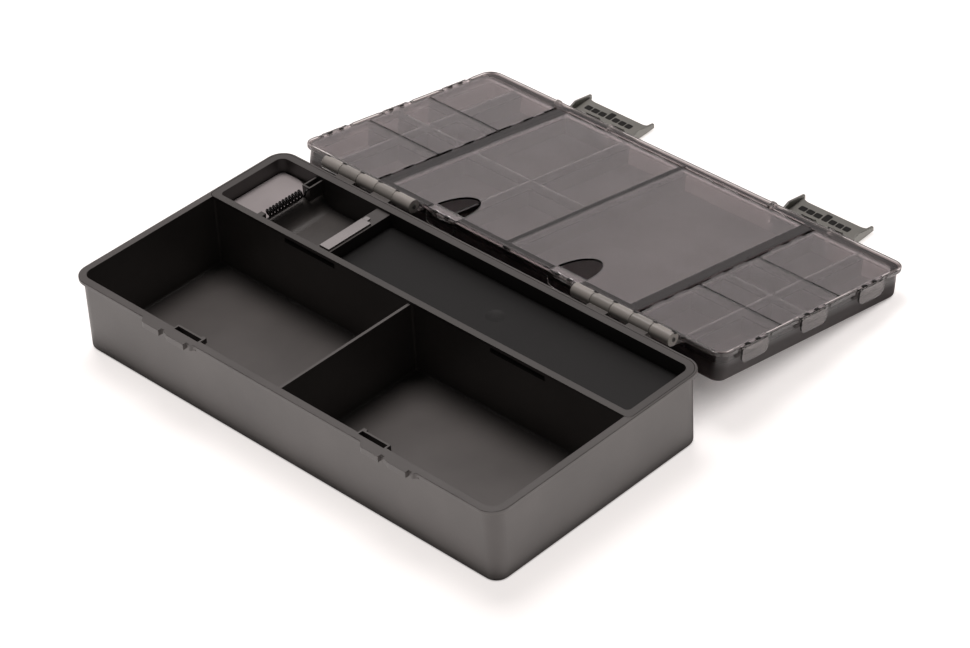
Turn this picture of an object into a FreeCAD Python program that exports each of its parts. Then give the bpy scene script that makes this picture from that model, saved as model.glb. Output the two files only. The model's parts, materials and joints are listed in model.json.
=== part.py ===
import FreeCAD, Part
import math
import os

os.makedirs("parts", exist_ok=True)
Vector = FreeCAD.Vector

# Fishing tackle cabinet, in millimetres
# A long bin with two compartments in front and a lift-out tray at the back, under a shallow divided lid.
# X runs along the bin, Y towards the hinge side and Z up.
# The origin is the centre of the face that the bin rests on.
# The lid is drawn in a frame of its own, lying open with its hollows upwards: x along the lid, u away
# from the hinge side and w up out of the open face, so depths in the lid are negative w.
# It is then swung about the hinge to where it rests, with its far edge on the table.

# Cuts and fits
overrun = 1.0
same_place = 0.001
quarter_turn = 90.0
diagonal_share = 1 / math.sqrt(2)
running_fit = 0.08
press_fit = 0.02
free_gap = 0.3

# Base bin
base_length = 350.0
base_width = 176.5
base_height = 53.0
base_wall = 2.1
floor_thickness = 2.5
rim_overhang = 3.0
rim_thickness = 2.5
rim_corner_radius = 12.0
rim_top_radius = 0.5
foot_radius = 2.6
floor_radius = 1.5
web_corner_radius = 1.6
divider_thickness = 2.0
divider_drop = 2.0
partition_y = 25.0
partition_thickness = 2.0

# Openings near the top of the partition, each with a sill on its front
slot_inset = 89.0
slot_length = 43.0
slot_height = 2.8
slot_drop = 3.4
sill_height = 0.8
sill_reach = 0.7

# Keepers on the front rim, which the latches hook
keeper_inset = 84.0
keeper_reach = 3.4
keeper_thickness = 4.0
keeper_tab_length = 21.4
keeper_tab_shift = 1.0
keeper_blend_length = 6.0
keeper_end_length = 3.4
keeper_step = 1.6
keeper_slit_length = 2.6
keeper_slit_depth = 2.8
pocket_length = 20.0
pocket_width = 3.3
pocket_depth = 7.0
pocket_skin = 1.1
pocket_wall = 1.3
pocket_shift = 14.5
pocket_hook_length = 3.0
pocket_boss_slope = 4.2

# Main hinge: two groups of five knuckles on a steel pin each
hinge_group_inset = 70.0
knuckle_length = 15.0
knuckle_gap = 0.4
knuckle_radius = 4.4
knuckle_count = 5
hinge_setback = 7.4
hinge_drop = 0.4
hinge_pin_radius = 1.5
hinge_pin_tail = 0.6
bracket_drop = 0.35
gusset_height = 6.0
hinge_web_depth = 4.2
hinge_web_step = 0.2
hinge_clear = 0.5
relief_length = 2.8
relief_width = 2.0
relief_inset = 0.9

# Rear tray
tray_strip = 1.5
tray_fit = 0.25
tray_gap = 0.4
tray_wall = 1.2
tray_flange = 1.8
tray_front_overlap = 1.0
tray_front_radius = 3.5
tray_shelf_drop = 11.0
tray_pocket_drop = 21.0
tray_skin = 1.2
tray_front_inner_radius = 3.0
shelf_length = 38.0
ramp_crest_radius = 4.0
ramp_foot_radius = 9.0
ramp_angle = 55.0
tray_divider_inset = 91.0
tray_divider_width = 11.0
tray_divider_drop = 1.7

# Panel that lies in the long bay of the tray
panel_thickness = 1.5
panel_margin = 0.9
panel_corner_radius = 3.0
dimple_x = 40.0
dimple_radius = 6.0
dimple_depth = 0.5

# Bright strip on the tray's divider
strip_width = 8.0
strip_length = 36.0
strip_thickness = 1.2
strip_front = 2.0
strip_tail_length = 4.0
strip_tail_thickness = 0.8
strip_tail_radius = 1.0
strip_tail_root_radius = 0.5

# Coil that holds rigs by their lines, and what it is hooked to
coil_inset = 40.0
coil_drop = 4.7
coil_front_room = 8.4
coil_back_room = 13.0
coil_pitch = 2.7
wire_radius = 0.7
coil_radius = 2.3
coil_bend_radius = 1.7
coil_samples = 5
coil_sides = 6
anchor_width = 4.0
anchor_drop = 2.0
anchor_rib = 1.2

# Lid tray
lid_end_step = 1.0
lid_side_step = 1.0
lid_depth = 20.8
lid_overhang = 2.4
lid_lip_thickness = 2.6
lid_wall = 2.0
lid_floor = 2.0
lid_corner_radius = 9.5
lid_edge_radius = 3.0
lid_gap = 0.3
band_width = 2.5
near_band_width = 5.7
far_band_width = 8.7
flap_drop = 0.4
flap_thickness = 1.4
seat_gap = 0.1
ledge_width = 1.6
ledge_thickness = 1.5
web_thickness = 1.6
low_web_drop = 1.5

# Webs of the lid: centre wall, walls between centre and ends, and those inside each
end_zone_length = 65.7
rail_width = 9.5
end_web_inset = 31.0
end_web_shares = (0.3254, 0.4803, 0.6387)
left_web_inset = 50.8
left_web_share = 0.4444
middle_rail_width = 2.4

# Flaps over the bays, each hinged on a barrel and held by a clip
barrel_radius = 1.0
barrel_gap = 0.3
barrel_length = 11.0
barrel_inset = 9.0
barrel_pitch = 20.0
barrel_reach = 0.9
barrel_back = 1.5
flap_corner_radius = 1.5
tongue_width = 24.0
tongue_gap = 0.4
clip_out = 0.2
clip_radius = 0.7
clip_length = 9.8
clip_corner_radius = 4.6
clip_film_gap = 0.12
clip_bead_radius = 0.5
clip_head_radius = 1.5
clip_hole_spacing = 9.5
clip_hole_length = 3.2
clip_hole_width = 1.3
clip_hole_past = 0.2
clip_pocket_length = 31.0
clip_pocket_depth = 0.8
centre_clip_inset = 48.3
thumb_width = 23.0
thumb_length = 24.5
thumb_strip = 1.8

# Latches on the far wall of the lid
latch_wall_gap = 1.4
latch_pivot_depth = 12.0
latch_open_angle = 78.0
latch_offset = 5.5
latch_thickness = 2.0
latch_neck_half = 21.3
latch_wing_half = 28.2
latch_neck_length = 13.0
latch_shoulder = 2.5
latch_edge_half = 20.5
latch_edge_length = 32.8
latch_tip_length = 36.6
latch_edge_dip = 1.0
latch_top = 2.4
latch_barrel_radius = 2.1
latch_pin_radius = 1.1
latch_pin_length = 2.6
latch_arm_half = 1.6
latch_flange_thickness = 1.6
latch_flange_low = 2.0
latch_flange_high = 4.2
latch_flange_tip = 1.2
latch_flange_rise = 6.0
hook_thickness = 2.6
hook_tip_thickness = 0.9
hook_overlap = 1.1
hook_inset = 1.0
window_length = 17.8
window_pitch = 22.2
window_width = 4.4
window_frame = 1.8
window_floor = 0.6
window_radius = 0.8
window_rib = 0.9
window_skin = 0.8
window_cells = 3
grip_height = 0.9
grip_width = 2.2
ear_thickness = 3.0
ear_gap = 0.35
ear_radius = 2.7
lug_reach = 2.4

# Places that follow from the sizes
half_length = base_length / 2
half_width = base_width / 2
inner_half_length = half_length - rim_overhang - base_wall
inner_half_width = half_width - rim_overhang - base_wall
partition_back_y = partition_y + partition_thickness
partition_top_z = base_height - tray_flange
rim_under_z = base_height - rim_thickness
hinge_y = half_width + hinge_setback
hinge_z = base_height - hinge_drop
hinge_group_x = half_length - hinge_group_inset
keeper_x = half_length - keeper_inset
slot_x = half_length - slot_inset

# Tray: its floors and walls, and the coil over the crest of its ramp
tray_shelf_z = base_height - tray_shelf_drop
tray_pocket_z = base_height - tray_pocket_drop
tray_divider_top_z = base_height - tray_divider_drop
tray_divider_x = -half_length + tray_divider_inset
shelf_end_x = -half_length + shelf_length
tray_inner_front_y = partition_back_y + tray_gap + tray_wall
tray_inner_back_y = inner_half_width - tray_gap - tray_wall
coil_x = -half_length + coil_inset
coil_z = base_height - coil_drop
coil_start_y = tray_inner_front_y + coil_front_room
coil_turns = int((tray_inner_back_y - coil_back_room - coil_start_y) / coil_pitch)
anchor_top_z = base_height - anchor_drop

# In the lid's frame the hinge axis lies at u = axis_u, w = axis_w
lid_length = base_length - lid_end_step - lid_end_step
lid_width = base_width - lid_side_step
lid_half = lid_length / 2
axis_u = lid_width / 2 - hinge_y
axis_w = lid_gap + hinge_drop
seat_w = -(flap_drop + flap_thickness + seat_gap)
ledge_under_w = seat_w - ledge_thickness
bay_floor_w = -(lid_depth - lid_floor)
barrel_w = -(flap_drop + barrel_radius)
clip_w = -(flap_drop + flap_thickness / 2)
seat_far_u = lid_width - far_band_width
end_seat_x = lid_half - band_width
bay_x = lid_half - lid_overhang - lid_wall
bay_near_u = lid_overhang + lid_wall
bay_far_u = lid_width - lid_overhang - lid_wall
bay_outer_radius = lid_corner_radius - lid_overhang - lid_wall
rail_out_x = lid_half - end_zone_length
rail_in_x = rail_out_x - rail_width
end_wall_x = (rail_in_x + rail_out_x) / 2
end_web_x = lid_half - end_web_inset
end_web_u = [share * lid_width for share in end_web_shares]
end_near_web_u, end_low_web_u, end_far_web_u = end_web_u
left_web_u = left_web_share * lid_width
left_web_x = -(rail_in_x - left_web_inset)
centre_clip_x = rail_in_x - centre_clip_inset
seat_outer_radius = lid_corner_radius - band_width


def rest_tilt():
    """Angle that the open lid droops, found from its rounded far edge touching the table.

    The centre of that rounding lies `reach` beyond the hinge and `rise` under it, so with the lid level
    the lowest point is at hinge_z - rise - lid_edge_radius, and the lid turns until that is zero.
    """
    reach = lid_width - lid_overhang - lid_edge_radius - axis_u
    rise = lid_depth - lid_edge_radius + axis_w
    arm = math.hypot(reach, rise)
    return math.degrees(math.asin((hinge_z - lid_edge_radius) / arm) - math.atan2(rise, reach))


lid_tilt = rest_tilt()


# Shapes used all over the part

def box(x0, x1, y0, y1, z0, z1):
    """Block between two corners."""
    return Part.makeBox(x1 - x0, y1 - y0, z1 - z0, Vector(x0, y0, z0))


def outline(x0, x1, y0, y1, z, radii):
    """Rectangle at height z, anticlockwise from the corner at low x and low y.

    A corner is round unless its radius is zero.
    """
    ways = [Vector(0, -1, 0), Vector(1, 0, 0), Vector(0, 1, 0), Vector(-1, 0, 0)]
    corners = [Vector(x0, y0, z), Vector(x1, y0, z), Vector(x1, y1, z), Vector(x0, y1, z)]
    starts = []
    ends = []
    arcs = []
    for i, corner in enumerate(corners):
        come = ways[i]
        go = ways[(i + 1) % len(ways)]
        start = corner - come * radii[i]
        end = corner + go * radii[i]
        middle = start + go * radii[i] + (come - go) * (radii[i] * diagonal_share)
        starts.append(start)
        ends.append(end)
        arcs.append([Part.Arc(start, middle, end).toShape()] if radii[i] else [])
    edges = []
    for i in range(len(corners)):
        edges += arcs[i]
        edges.append(Part.LineSegment(ends[i], starts[(i + 1) % len(corners)]).toShape())
    return Part.Wire(edges)


def slab(x0, x1, y0, y1, z0, z1, radii):
    """Upright block with round corners."""
    face = Part.Face(outline(x0, x1, y0, y1, z0, radii))
    return face.extrude(Vector(0, 0, z1 - z0))


def rod(radius, x0, x1, y, z):
    """Round bar along X."""
    return Part.makeCylinder(radius, x1 - x0, Vector(x0, y, z), Vector(1, 0, 0))


def prism_x(points, x0, x1):
    """Outline of (y, z) points, drawn out along X."""
    corners = [Vector(x0, y, z) for y, z in points]
    face = Part.Face(Part.makePolygon(corners + [corners[0]]))
    return face.extrude(Vector(x1 - x0, 0, 0))


def tangent_point(y, z, centre_y, centre_z, radius, side):
    """Where a line from (y, z) touches a circle; side is 1 or -1."""
    away = math.hypot(y - centre_y, z - centre_z)
    heading = math.atan2(z - centre_z, y - centre_y) + side * math.acos(radius / away)
    return centre_y + radius * math.cos(heading), centre_z + radius * math.sin(heading)


def edges_at(shape, height):
    """Edges that lie at one height."""
    return [e for e in shape.Edges if all(abs(v.Z - height) < same_place for v in e.Vertexes)]


def joined(shapes):
    """One solid from several that touch or overlap."""
    return shapes[0].multiFuse(shapes[1:]).removeSplitter()


def placed_on_lid(shape):
    """Move a shape from the lid's frame to where the open lid rests."""
    moved = shape.copy()
    moved.translate(Vector(0, hinge_y - axis_u, hinge_z - axis_w))
    moved.rotate(Vector(0, hinge_y, hinge_z), Vector(1, 0, 0), -lid_tilt)
    return moved


def knuckle_spans(indices):
    """Ends along X of the named knuckles of both hinge groups."""
    spans = []
    for side in (-1, 1):
        for i in indices:
            middle = side * hinge_group_x + i * (knuckle_length + knuckle_gap)
            spans.append((middle - knuckle_length / 2, middle + knuckle_length / 2))
    return spans


# Base bin

def bin_hollow(x0, x1, y0, y1, radii):
    """Compartment of the bin, open at the top, with a rounded foot."""
    hollow = slab(x0, x1, y0, y1, floor_thickness, base_height + overrun, radii)
    return hollow.makeFillet(floor_radius, edges_at(hollow, floor_thickness))


def bin_shell():
    """Walls, floor, rim, divider and partition."""
    body_radius = rim_corner_radius - rim_overhang
    reach_x = half_length - rim_overhang
    reach_y = half_width - rim_overhang
    body = slab(-reach_x, reach_x, -reach_y, reach_y, 0, base_height, [body_radius] * 4)
    body = body.makeFillet(foot_radius, edges_at(body, 0))
    lip = slab(-half_length, half_length, -half_width, half_width, rim_under_z, base_height,
               [rim_corner_radius] * 4)
    lip = lip.makeFillet(rim_top_radius, edges_at(lip, base_height) + edges_at(lip, rim_under_z))
    shell = body.fuse(lip)
    inner_radius = body_radius - base_wall
    small = web_corner_radius
    half_web = divider_thickness / 2
    left = bin_hollow(-inner_half_length, -half_web, -inner_half_width, partition_y,
                      [inner_radius, small, small, small])
    right = bin_hollow(half_web, inner_half_length, -inner_half_width, partition_y,
                       [small, inner_radius, small, small])
    rear = bin_hollow(-inner_half_length, inner_half_length, partition_back_y, inner_half_width,
                      [small, small, inner_radius, inner_radius])
    shell = shell.cut(left).cut(right).cut(rear)
    divider_top = box(-half_web - small, half_web + small, -inner_half_width, partition_y,
                      base_height - divider_drop, base_height + overrun)
    return shell.cut(divider_top)


def tray_seat():
    """Rebate of the rim that the tray's flange lies in, down to the top of the partition."""
    side = half_length - tray_strip
    radius = rim_corner_radius - tray_strip
    front = partition_y - tray_front_overlap - tray_fit
    front_radius = tray_front_radius + tray_fit
    return slab(-side, side, front, half_width - tray_strip, partition_top_z, base_height + overrun,
                [front_radius, front_radius, radius, radius])


def partition_slots():
    """The two long openings near the top of the partition, and their sills."""
    top = base_height - slot_drop
    holes = []
    sills = []
    for side in (-1, 1):
        x0 = side * slot_x - slot_length / 2
        x1 = side * slot_x + slot_length / 2
        holes.append(box(x0, x1, partition_y - overrun, partition_back_y + overrun, top - slot_height, top))
        sills.append(box(x0, x1, partition_y - sill_reach, partition_y + overrun,
                         top - slot_height - sill_height, top - slot_height))
    return holes, sills


def keeper_tab_spans():
    """Ends along X of the two keeper tabs, from the keeper's middle."""
    starts = (keeper_tab_shift - keeper_tab_length, keeper_tab_shift)
    return [(start, start + keeper_tab_length) for start in starts]


def swell(start, end):
    """Two arcs that leave one point along X and reach another along X."""
    middle = (start + end) * 0.5
    way = Vector(1, 0, 0)
    return [tangent_arc(start, way, middle), tangent_arc(end, way * -1, middle, True)]


def keeper_tabs(side):
    """Two tabs that swell out of the front rim one after the other, each with a slit at its end."""
    under = base_height - keeper_thickness
    root_y = -half_width + rim_overhang + base_wall / 2
    out_y = -half_width - keeper_reach
    base_y = -half_width + rim_top_radius
    edges = []
    slits = []
    for start, end in keeper_tab_spans():
        x0 = side * keeper_x + start
        x1 = side * keeper_x + end
        crest = Vector(x0 + keeper_blend_length, out_y, under)
        corner = Vector(x1, out_y, under)
        foot = Vector(x1, out_y + keeper_step, under)
        if not edges:
            first = Vector(x0, base_y, under)
        edges += swell(Vector(x0, base_y, under), crest)
        edges += [Part.LineSegment(crest, corner), Part.LineSegment(corner, foot)]
        slits.append(box(x1 - keeper_slit_length, x1, out_y - overrun, out_y + keeper_slit_depth,
                         under - overrun, base_height + overrun))
        base_y = foot.y
    last = Vector(x1 + keeper_end_length, -half_width + rim_top_radius, under)
    edges += swell(foot, last)
    root_last = Vector(last.x, root_y, under)
    root_first = Vector(first.x, root_y, under)
    edges += [Part.LineSegment(last, root_last), Part.LineSegment(root_last, root_first),
              Part.LineSegment(root_first, first)]
    face = Part.Face(Part.Wire([edge.toShape() for edge in edges]))
    return face.extrude(Vector(0, 0, keeper_thickness)).cut(Part.makeCompound(slits))


def keeper_pocket(side):
    """Boss inside the front wall with a deep narrow pocket, and the pocket itself."""
    middle = side * (keeper_x - pocket_shift)
    outer_y = -half_width + rim_overhang + pocket_skin
    pocket = box(middle - pocket_length / 2, middle + pocket_length / 2, outer_y, outer_y + pocket_width,
                 base_height - pocket_depth, base_height + overrun)
    boss_half = pocket_length / 2 + pocket_wall
    top = base_height
    low = top - pocket_depth - pocket_wall
    back_y = outer_y + pocket_width + pocket_wall
    wall_y = -inner_half_width - base_wall / 2
    profile = [(wall_y, top), (back_y, top), (back_y, low), (wall_y, low - pocket_boss_slope)]
    boss = prism_x(profile, middle - boss_half, middle + boss_half)
    hook_x = middle - side * (boss_half - pocket_hook_length / 2)
    hook = box(hook_x - pocket_hook_length / 2, hook_x + pocket_hook_length / 2,
               back_y - pocket_wall, back_y + pocket_wall, top - pocket_depth / 2, top)
    return boss.fuse(hook), pocket


def bin_knuckles():
    """Knuckles of the bin, each on a bracket under the rim with a gusset below."""
    pieces = []
    bores = []
    top = base_height - bracket_drop
    under = hinge_z - knuckle_radius
    wall_y = half_width - rim_overhang - base_wall / 2
    for x0, x1 in knuckle_spans((-1, 1)):
        pieces.append(rod(knuckle_radius, x0, x1, hinge_y, hinge_z))
        bracket = [(wall_y, top), (hinge_y, top), (hinge_y, under), (wall_y, under - gusset_height)]
        pieces.append(prism_x(bracket, x0, x1))
        bores.append(rod(hinge_pin_radius + press_fit, x0 - overrun, x1 + overrun, hinge_y, hinge_z))
    return pieces, bores


def base_bin():
    """The whole lower moulding."""
    holes, sills = partition_slots()
    knuckles, bores = bin_knuckles()
    bosses = []
    pockets = []
    tabs = []
    for side in (-1, 1):
        boss, pocket = keeper_pocket(side)
        bosses.append(boss)
        pockets.append(pocket)
        tabs.append(keeper_tabs(side))
    shell = bin_shell().multiFuse(sills + bosses + tabs + knuckles)
    shell = shell.cut(tray_seat()).cut(Part.makeCompound(holes + pockets))
    return shell.cut(Part.makeCompound(bores)).removeSplitter()


def hinge_pin(side):
    """Steel pin through one hinge group, with a short tail at its outer end."""
    half = knuckle_count * knuckle_length / 2 + (knuckle_count - 1) * knuckle_gap / 2
    middle = side * hinge_group_x
    tail = hinge_pin_tail
    return rod(hinge_pin_radius, middle - half - tail, middle + half + tail, hinge_y, hinge_z)


# Rear tray

def tray_plan(inset, z0, z1):
    """Upright block of the tray's inside or outside plan."""
    gap = tray_gap + inset
    back_radius = rim_corner_radius - rim_overhang - base_wall - gap
    front_radius = tray_front_inner_radius + tray_wall - inset
    reach = inner_half_length - gap
    radii = [front_radius, front_radius, back_radius, back_radius]
    return slab(-reach, reach, partition_back_y + gap, inner_half_width - gap, z0, z1, radii)


def floor_profile(drop, wall):
    """Points along X of the tray's floor, `drop` under its inside face.

    From the shelf at the left end a crest, a ramp and a foot lead down to the pocket, then the divider
    stands up and the long bay follows. The crest and the foot are arcs that the ramp touches.
    """
    shelf = tray_shelf_z - drop
    pocket = tray_pocket_z - drop
    half_turn = math.radians(ramp_angle) / 2
    turn = math.radians(ramp_angle)
    crest_radius = ramp_crest_radius - drop
    foot_arc_radius = ramp_foot_radius + drop
    crest_fall = crest_radius * (1 - math.cos(turn))
    foot_fall = foot_arc_radius * (1 - math.cos(turn))
    run_fall = shelf - pocket - crest_fall - foot_fall
    crest_start = Vector(shelf_end_x, 0, shelf)
    crest_end = Vector(shelf_end_x + crest_radius * math.sin(turn), 0, shelf - crest_fall)
    crest_middle = Vector(shelf_end_x + crest_radius * math.sin(half_turn), 0,
                          shelf - crest_radius * (1 - math.cos(half_turn)))
    foot_start = Vector(crest_end.x + run_fall / math.tan(turn), 0, crest_end.z - run_fall)
    foot_end = Vector(foot_start.x + foot_arc_radius * math.sin(turn), 0, pocket)
    foot_middle = Vector(foot_end.x - foot_arc_radius * math.sin(half_turn), 0,
                         pocket + foot_arc_radius * (1 - math.cos(half_turn)))
    divider_left = tray_divider_x + wall
    divider_right = tray_divider_x + tray_divider_width - wall
    divider_top = tray_divider_top_z - drop
    start = Vector(-half_length, 0, shelf)
    corners = [foot_end, Vector(divider_left, 0, pocket), Vector(divider_left, 0, divider_top),
               Vector(divider_right, 0, divider_top), Vector(divider_right, 0, shelf),
               Vector(half_length, 0, shelf)]
    edges = [Part.LineSegment(start, crest_start), Part.Arc(crest_start, crest_middle, crest_end),
             Part.LineSegment(crest_end, foot_start), Part.Arc(foot_start, foot_middle, foot_end)]
    for i in range(len(corners) - 1):
        edges.append(Part.LineSegment(corners[i], corners[i + 1]))
    return start, corners[-1], edges


def above_floor(drop, wall):
    """Everything over the tray's floor line, as wide as the bin."""
    start, end, edges = floor_profile(drop, wall)
    sky = base_height + overrun + overrun
    edges += [Part.LineSegment(end, Vector(end.x, 0, sky)),
              Part.LineSegment(Vector(end.x, 0, sky), Vector(start.x, 0, sky)),
              Part.LineSegment(Vector(start.x, 0, sky), start)]
    face = Part.Face(Part.Wire([edge.toShape() for edge in edges]))
    solid = face.extrude(Vector(0, base_width, 0))
    solid.translate(Vector(0, -half_width, 0))
    return solid


def rear_tray():
    """Lift-out tray: flange, thin walls, shelf, pocket, hollow divider and long bay."""
    low = tray_pocket_z - tray_skin - overrun
    outside = tray_plan(0, low, base_height).common(above_floor(tray_skin, tray_wall))
    inside = tray_plan(tray_wall, low, base_height + overrun).common(above_floor(0, 0))
    side = half_length - tray_strip - tray_fit
    radius = rim_corner_radius - tray_strip - tray_fit
    flange = slab(-side, side, partition_y - tray_front_overlap, half_width - tray_strip - tray_fit,
                  base_height - tray_flange, base_height,
                  [tray_front_radius, tray_front_radius, radius, radius])
    body = flange.fuse(outside).cut(inside)
    return joined([body] + coil_anchors())


def coil_ends():
    """Where the coil's straight ends stop, in front and behind."""
    length = coil_turns * coil_pitch
    tail = coil_bend_radius + 2 * wire_radius
    return coil_start_y - tail, coil_start_y + length + tail


def coil_anchors():
    """Post at the front and braced plate at the back that the coil's ends meet."""
    front_y, back_y = coil_ends()
    low = tray_shelf_z - tray_skin / 2
    half = anchor_width / 2
    rib_half = half + anchor_rib / 2
    post = box(coil_x - half, coil_x + half, tray_inner_front_y - tray_wall / 2, front_y, low, anchor_top_z)
    plate = box(coil_x - rib_half, coil_x + rib_half, back_y, back_y + anchor_rib, low, anchor_top_z)
    ribs = []
    for side in (-1, 1):
        middle = coil_x + side * rib_half
        ribs.append(box(middle - anchor_rib / 2, middle + anchor_rib / 2, back_y,
                        tray_inner_back_y + tray_wall / 2, low, anchor_top_z))
    return [post, plate] + ribs


def tray_panel():
    """Smooth dark panel on the floor of the long bay, with one shallow round dimple."""
    x0 = tray_divider_x + tray_divider_width + panel_margin
    x1 = inner_half_length - tray_gap - tray_wall - panel_margin
    y0 = tray_inner_front_y + panel_margin
    y1 = tray_inner_back_y - panel_margin
    top = tray_shelf_z + panel_thickness
    radius = panel_corner_radius
    panel = slab(x0, x1, y0, y1, tray_shelf_z, top, [radius] * 4)
    ball_radius = (dimple_radius ** 2 + dimple_depth ** 2) / (2 * dimple_depth)
    ball = Part.makeSphere(ball_radius, Vector(dimple_x, (y0 + y1) / 2, top - dimple_depth + ball_radius))
    return panel.cut(ball)


def divider_strip():
    """Flat bright strip on the tray's divider, with a narrow tail at its back end."""
    x0 = tray_divider_x + (tray_divider_width - strip_width) / 2
    x1 = x0 + strip_width
    y0 = tray_inner_front_y + strip_front
    y1 = y0 + strip_length
    z0 = tray_divider_top_z
    z1 = z0 + strip_thickness
    flat = box(x0, x1, y0, y1, z0, z1)
    root = strip_tail_root_radius
    end = strip_tail_radius
    tail = slab(x0, x0 + strip_width / 2, y1 - strip_tail_length / 2, y1 + strip_tail_length, z0,
                z0 + strip_tail_thickness, [root, root, end, end])
    return joined([flat, tail])


# Coil in the tray

def biarc(start, start_way, end, end_way):
    """Two arcs that leave one point along one direction and reach another along a second."""
    span = end - start
    both = start_way + end_way
    square = 2 * start_way.dot(end_way) - 2
    slope = -2 * span.dot(both)
    size = span.dot(span)
    root = math.sqrt(slope * slope - 4 * square * size)
    reach = max((-slope + root) / (2 * square), (-slope - root) / (2 * square))
    middle = (start + start_way * reach + end - end_way * reach) * 0.5
    return [tangent_arc(start, start_way, middle), tangent_arc(end, end_way * -1, middle, True)]


def tangent_arc(start, way, end, turned=False):
    """Arc from a point along a direction to a second point, or the same arc run the other way."""
    chord = end - start
    half = chord.Length / 2
    along = Vector(chord).normalize()
    aside = way - along * way.dot(along)
    bend = math.atan2(aside.Length, way.dot(along))
    top = (start + end) * 0.5 + aside.normalize() * (half * math.tan(bend / 2))
    return Part.Arc(end, top, start) if turned else Part.Arc(start, top, end)


def coil_place(turns):
    """Point and direction on the coil after a number of turns."""
    angle = 2 * math.pi * turns
    point = Vector(coil_x + coil_radius * math.cos(angle), coil_start_y + coil_pitch * turns,
                   coil_z + coil_radius * math.sin(angle))
    way = Vector(-coil_radius * math.sin(angle), coil_pitch / (2 * math.pi), coil_radius * math.cos(angle))
    return point, way.normalize()


def coil_path():
    """Arcs of the whole wire: straight end, bend, turns by half turns, bend and straight end."""
    front_y, back_y = coil_ends()
    forward = Vector(0, 1, 0)
    steps = 2 * coil_turns
    places = [coil_place(i / 2) for i in range(steps + 1)]
    first, first_way = places[0]
    last, last_way = places[-1]
    lead = first - Vector(0, coil_bend_radius, 0) - first_way * coil_bend_radius
    tail = last + Vector(0, coil_bend_radius, 0) + last_way * coil_bend_radius
    path = [Part.LineSegment(Vector(lead.x, front_y, lead.z), lead)]
    path += biarc(lead, forward, first, first_way)
    for i in range(steps):
        path += biarc(places[i][0], places[i][1], places[i + 1][0], places[i + 1][1])
    path += biarc(last, last_way, tail, forward)
    path.append(Part.LineSegment(tail, Vector(tail.x, back_y, tail.z)))
    return path


def least_gap(path):
    """Smallest distance between the wire's surfaces, measured on points of turns that lie apart."""
    points = []
    length = 0
    for piece in path:
        edge = piece.toShape()
        for point in edge.discretize(coil_samples)[:-1]:
            points.append((length + (point - edge.valueAt(edge.FirstParameter)).Length, point))
        length += edge.Length
    apart = math.pi * coil_radius
    least = min((b - a).Length for s, a in points for t, b in points if t - s > apart)
    return least - 2 * wire_radius


def line_coil():
    """Open coil of wire: one unbroken tube, whose section is a polygon in the round wire."""
    path = coil_path()
    edges = [piece.toShape() for piece in path]
    print("least gap between the coil's turns", round(least_gap(path), 3))
    spine = Part.Wire(edges)
    start = edges[0].valueAt(edges[0].FirstParameter)
    turns = [2 * math.pi * i / coil_sides for i in range(coil_sides + 1)]
    corners = [start + Vector(math.cos(a), 0, math.sin(a)) * wire_radius for a in turns]
    ring = Part.makePolygon(corners)
    return Part.Solid(spine.makePipeShell([ring], True, False))


# Lid tray

def end_radii(side, near, far, inner):
    """Corner radii of something in an end zone, whose outer corners follow the lid's corners."""
    return [near, inner, inner, far] if side < 0 else [inner, near, far, inner]


def bay(x0, x1, u0, u1, neck, radii):
    """Hollow of the lid: its room, and a mouth that the ledges narrow."""
    room = slab(x0, x1, u0, u1, bay_floor_w, ledge_under_w, radii)
    mouth_x0 = max(x0, neck[0])
    mouth_x1 = min(x1, neck[1])
    mouth_u0 = max(u0, neck[2])
    mouth_u1 = min(u1, neck[3])
    mouth = slab(mouth_x0, mouth_x1, mouth_u0, mouth_u1, ledge_under_w - same_place, overrun, radii)
    return room.fuse(mouth)


def spans(first, last, webs):
    """Stretches between two walls that webs of the same thickness divide."""
    half = web_thickness / 2
    starts = [first] + [web + half for web in webs]
    ends = [web - half for web in webs] + [last]
    return list(zip(starts, ends))


def end_bays(side):
    """Eight bays of one end of the lid."""
    near_x = end_wall_x + lid_wall / 2
    neck_x = sorted((side * (rail_out_x + ledge_width), side * bay_x))
    neck = neck_x + [bay_near_u, seat_far_u - ledge_width]
    bays = []
    rows = spans(bay_near_u, bay_far_u, end_web_u)
    for column, (a, b) in enumerate(spans(near_x, bay_x, [end_web_x])):
        x0, x1 = sorted((side * a, side * b))
        for row, (u0, u1) in enumerate(rows):
            outer = column == 1
            near = bay_outer_radius if outer and row == 0 else 0
            far = bay_outer_radius if outer and row == len(rows) - 1 else 0
            bays.append(bay(x0, x1, u0, u1, neck, end_radii(side, near, far, 0)))
    return bays


def centre_bays(side):
    """Bays of one half of the lid's centre: four on the left, one on the right."""
    x0, x1 = sorted((side * web_thickness / 2, side * (end_wall_x - lid_wall / 2)))
    neck_x = sorted((side * (middle_rail_width / 2 + ledge_width), side * (rail_in_x - ledge_width)))
    neck = neck_x + [near_band_width + ledge_width, seat_far_u - ledge_width]
    web_x = [left_web_x] if side < 0 else []
    web_u = [left_web_u] if side < 0 else []
    bays = []
    for a, b in spans(x0, x1, web_x):
        for u0, u1 in spans(bay_near_u, bay_far_u, web_u):
            bays.append(bay(a, b, u0, u1, neck, [0] * 4))
    return bays


def lid_seats():
    """Shallow recesses that the flaps lie in, and the small step from the rim down to the rails."""
    small = flap_corner_radius
    seats = []
    for side in (-1, 1):
        x0, x1 = sorted((side * middle_rail_width / 2, side * rail_in_x))
        seats.append(slab(x0, x1, near_band_width, seat_far_u, seat_w, overrun, [small] * 4))
        x0, x1 = sorted((side * rail_out_x, side * end_seat_x))
        radii = end_radii(side, seat_outer_radius, seat_outer_radius, small)
        seats.append(slab(x0, x1, band_width, seat_far_u, seat_w, overrun, radii))
    step = slab(-end_seat_x, end_seat_x, near_band_width, seat_far_u, -flap_drop, overrun,
                [seat_outer_radius] * 4)
    return seats + [step]


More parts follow.
